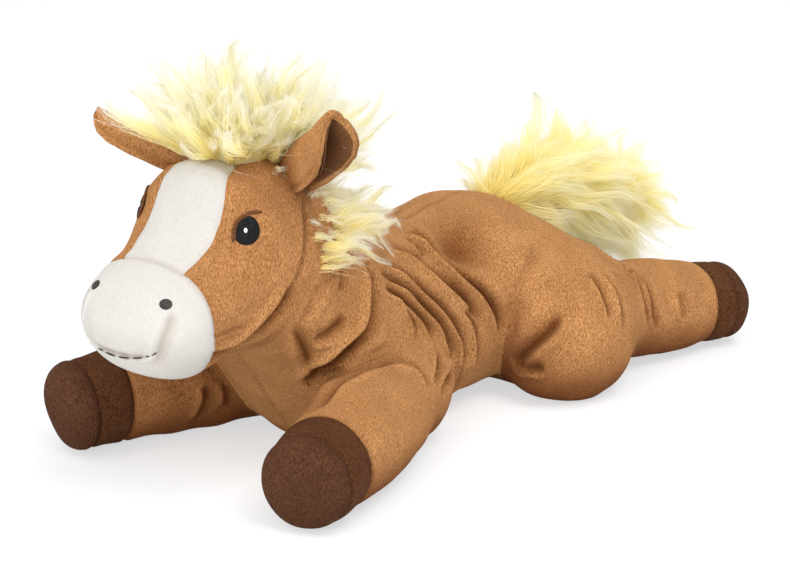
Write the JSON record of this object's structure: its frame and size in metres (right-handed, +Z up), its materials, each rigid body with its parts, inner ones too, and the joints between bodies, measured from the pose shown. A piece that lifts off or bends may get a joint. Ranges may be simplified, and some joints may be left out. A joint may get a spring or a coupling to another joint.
{
  "type": "plush horse",
  "caption": "Stuffed plush horse lying on its belly with spread legs, raised head, faux fur mane and tail, stitched eyes and mouth, pale blaze and muzzle, and dark hooves.",
  "frame": {"origin": "middle of the flat rest face of the belly panel, on the floor plane", "axes": "+Z up, -Y towards the muzzle, +X to the horse's left"},
  "size_m": [0.1964, 0.423, 0.1926],
  "materials": {
    "brown_plush": "short pile",
    "cream_plush": "very short pile",
    "hoof_plush": "short pile",
    "ear_lining": "short pile",
    "long_fur": "long faux fur",
    "black_thread": "satin stitch",
    "white_thread": "satin stitch",
    "brown_thread": "satin stitch",
    "dark_thread": "thread",
    "fibre_filling": "loose fibre"
  },
  "bodies": {
    "torso": {"trunk_left_panel": "brown_plush", "trunk_right_panel": "brown_plush", "belly_gusset": "brown_plush", "trunk_filling": "fibre_filling", "neck_mane": "long_fur"},
    "head": {"head_left_panel": "brown_plush", "head_right_panel": "brown_plush", "blaze_panel": "cream_plush", "muzzle_cap": "cream_plush", "head_filling": "fibre_filling", "forelock": "long_fur", "left_eye": "black_thread", "left_eye_highlight": "white_thread", "left_eye_lash": "brown_thread", "left_nostril": "dark_thread", "right_eye": "black_thread", "right_eye_highlight": "white_thread", "right_eye_lash": "brown_thread", "right_nostril": "dark_thread", "mouth_thread": "dark_thread"},
    "ear_left": {"left_ear_shell": "brown_plush", "left_ear_lining": "ear_lining"},
    "ear_right": {"right_ear_shell": "brown_plush", "right_ear_lining": "ear_lining"},
    "leg_front_left": {"front_left_leg_sleeve": "brown_plush", "front_left_hoof_wall": "hoof_plush", "front_left_hoof_sole": "hoof_plush", "front_left_leg_filling": "fibre_filling"},
    "leg_front_right": {"front_right_leg_sleeve": "brown_plush", "front_right_hoof_wall": "hoof_plush", "front_right_hoof_sole": "hoof_plush", "front_right_leg_filling": "fibre_filling"},
    "leg_hind_left": {"hind_left_leg_sleeve": "brown_plush", "hind_left_hoof_wall": "hoof_plush", "hind_left_hoof_sole": "hoof_plush", "hind_left_leg_filling": "fibre_filling"},
    "leg_hind_right": {"hind_right_leg_sleeve": "brown_plush", "hind_right_hoof_wall": "hoof_plush", "hind_right_hoof_sole": "hoof_plush", "hind_right_leg_filling": "fibre_filling"},
    "tail": {"tail": "long_fur"}
  },
  "joints": [
    {"name": "head_turn", "type": "hinge", "parent": "torso", "child": "head", "pos_m": [0, -0.114, 0.104], "axis": [0, 0, 1], "range_deg": [-15, 15]},
    {"name": "left_ear_flop", "type": "hinge", "parent": "head", "child": "ear_left", "pos_m": [0.02969, -0.10714, 0.143], "axis": [0, 1, 0], "range_deg": [-15, 15], "stiffness_Nm_per_rad": 0.02},
    {"name": "right_ear_flop", "type": "hinge", "parent": "head", "child": "ear_right", "pos_m": [-0.02969, -0.10714, 0.143], "axis": [0, 1, 0], "range_deg": [-15, 15], "stiffness_Nm_per_rad": 0.02},
    {"name": "front_left_spread", "type": "hinge", "parent": "torso", "child": "leg_front_left", "pos_m": [0.033, -0.042, 0.026], "axis": [0, 0, 1], "range_deg": [0, 20]},
    {"name": "front_right_spread", "type": "hinge", "parent": "torso", "child": "leg_front_right", "pos_m": [-0.033, -0.042, 0.026], "axis": [0, 0, -1], "range_deg": [0, 20]},
    {"name": "hind_left_spread", "type": "hinge", "parent": "torso", "child": "leg_hind_left", "pos_m": [0.046, 0.076, 0.0345], "axis": [0, 0, -1], "range_deg": [0, 20]},
    {"name": "hind_right_spread", "type": "hinge", "parent": "torso", "child": "leg_hind_right", "pos_m": [-0.046, 0.076, 0.0345], "axis": [0, 0, 1], "range_deg": [0, 20]},
    {"name": "tail_lift", "type": "hinge", "parent": "torso", "child": "tail", "pos_m": [0, 0.088, 0.086], "axis": [1, 0, 0], "range_deg": [0, 35]}
  ]
}
